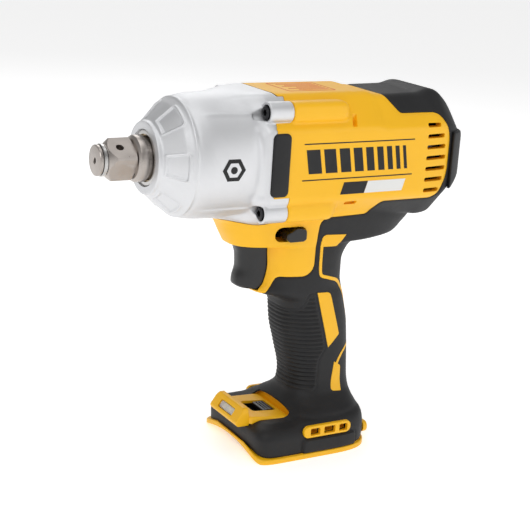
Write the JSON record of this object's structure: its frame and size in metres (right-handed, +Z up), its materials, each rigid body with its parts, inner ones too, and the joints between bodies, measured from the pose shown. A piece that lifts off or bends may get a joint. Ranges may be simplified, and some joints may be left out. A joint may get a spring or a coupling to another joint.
{
  "type": "impact wrench",
  "caption": "Cordless impact wrench with a square drive, cast hammer case, moulded casings with rubber grip, sprung trigger, selector, lamp and a foot with a battery bay.",
  "frame": {"origin": "on the resting plane of the foot, in the middle of the bounding box seen from above", "axes": "+X along the drive axis and out of the nose, +Y the tool's left side, +Z up from the foot to the barrel"},
  "size_m": [0.248, 0.0788, 0.2368],
  "materials": {
    "yellow_plastic": "satin",
    "rubber_overmould": "matte",
    "cast_aluminium": "satin",
    "drive_steel": "satin",
    "dark_steel": "satin",
    "bronze": "satin",
    "copper_winding": "satin",
    "black_plastic": "satin",
    "circuit_board": "gloss",
    "lamp_lens": "gloss",
    "black_screw": "satin"
  },
  "bodies": {
    "housing": {"bearing_plate": "cast_aluminium", "carrier_bearing": "drive_steel", "case_screw_1": "black_screw", "case_screw_2": "black_screw", "case_screw_3": "black_screw", "case_screw_4": "black_screw", "control_module": "black_plastic", "foot_panel": "yellow_plastic", "front_motor_bearing": "drive_steel", "hammer_case": "cast_aluminium", "housing_screw_1": "black_screw", "housing_screw_2": "black_screw", "housing_screw_3": "black_screw", "housing_screw_4": "black_screw", "housing_screw_5": "black_screw", "housing_screw_6": "black_screw", "lamp_board": "circuit_board", "lamp_lens": "lamp_lens", "lamp_pod": "yellow_plastic", "left_housing": "yellow_plastic", "left_overmould": "rubber_overmould", "left_side_pad": "rubber_overmould", "left_slot_bezel": "yellow_plastic", "nose_bushing": "bronze", "nose_seal": "rubber_overmould", "rear_bezel": "yellow_plastic", "rear_bumper": "rubber_overmould", "rear_motor_bearing": "drive_steel", "right_housing": "yellow_plastic", "right_overmould": "rubber_overmould", "right_side_pad": "rubber_overmould", "right_slot_bezel": "yellow_plastic", "ring_gear": "dark_steel", "stator": "copper_winding", "switch_module": "black_plastic", "terminal_blade_1": "copper_winding", "terminal_blade_2": "copper_winding", "terminal_block": "black_plastic", "trigger_spring": "dark_steel"},
    "carrier": {"cam_carrier": "dark_steel", "planet_pin_1": "drive_steel", "planet_pin_2": "drive_steel", "planet_pin_3": "drive_steel", "cam_ball_1": "drive_steel", "cam_ball_2": "drive_steel", "hammer_spring": "dark_steel", "spring_washer": "drive_steel"},
    "planet_1": {"planet_gear_1": "drive_steel"},
    "planet_2": {"planet_gear_2": "drive_steel"},
    "planet_3": {"planet_gear_3": "drive_steel"},
    "hammer": {"hammer": "dark_steel"},
    "anvil": {"anvil": "drive_steel", "friction_ring": "bronze"},
    "rotor": {"rotor_shaft": "drive_steel", "rotor_stack": "dark_steel", "fan": "black_plastic"},
    "trigger": {"trigger": "black_plastic"},
    "selector": {"selector_lever": "black_plastic"},
    "lamp_switch": {"lamp_slider": "black_plastic"}
  },
  "joints": [
    {"name": "carrier_spin", "type": "hinge", "parent": "housing", "child": "carrier", "pos_m": [0, 0, 0.194], "axis": [1, 0, 0], "continuous": true},
    {"name": "planet_1_spin", "type": "hinge", "parent": "carrier", "child": "planet_1", "pos_m": [0, 0.01688, 0.194], "axis": [1, 0, 0], "continuous": true},
    {"name": "planet_2_spin", "type": "hinge", "parent": "carrier", "child": "planet_2", "pos_m": [0, -0.00844, 0.20861], "axis": [1, 0, 0], "continuous": true},
    {"name": "planet_3_spin", "type": "hinge", "parent": "carrier", "child": "planet_3", "pos_m": [0, -0.00844, 0.17939], "axis": [1, 0, 0], "continuous": true},
    {"name": "rotor_spin", "type": "hinge", "parent": "housing", "child": "rotor", "pos_m": [0, 0, 0.194], "axis": [1, 0, 0], "continuous": true},
    {"name": "anvil_spin", "type": "hinge", "parent": "housing", "child": "anvil", "pos_m": [0, 0, 0.194], "axis": [1, 0, 0], "continuous": true},
    {"name": "hammer_slide", "type": "slide", "parent": "carrier", "child": "hammer", "axis": [-1, 0, 0], "range_m": [0, 0.0075], "stiffness_N_per_m": 12000, "springref_m": -0.004, "deforming": ["hammer_spring"]},
    {"name": "trigger_slide", "type": "slide", "parent": "housing", "child": "trigger", "axis": [-1, 0, 0], "range_m": [0, 0.006], "stiffness_N_per_m": 1200, "springref_m": -0.002, "deforming": ["trigger_spring"]},
    {"name": "selector_slide", "type": "slide", "parent": "housing", "child": "selector", "axis": [0, 1, 0], "range_m": [-0.003, 0.003]},
    {"name": "lamp_switch_slide", "type": "slide", "parent": "housing", "child": "lamp_switch", "axis": [1, 0, 0], "range_m": [0, 0.006]}
  ],
  "couplings": [
    {"joint": "rotor_spin", "follows": "carrier_spin", "ratio": 4.5},
    {"joint": "anvil_spin", "follows": "carrier_spin", "ratio": 1},
    {"joint": "planet_1_spin", "follows": "carrier_spin", "ratio": -2.8},
    {"joint": "planet_2_spin", "follows": "carrier_spin", "ratio": -2.8},
    {"joint": "planet_3_spin", "follows": "carrier_spin", "ratio": -2.8}
  ]
}
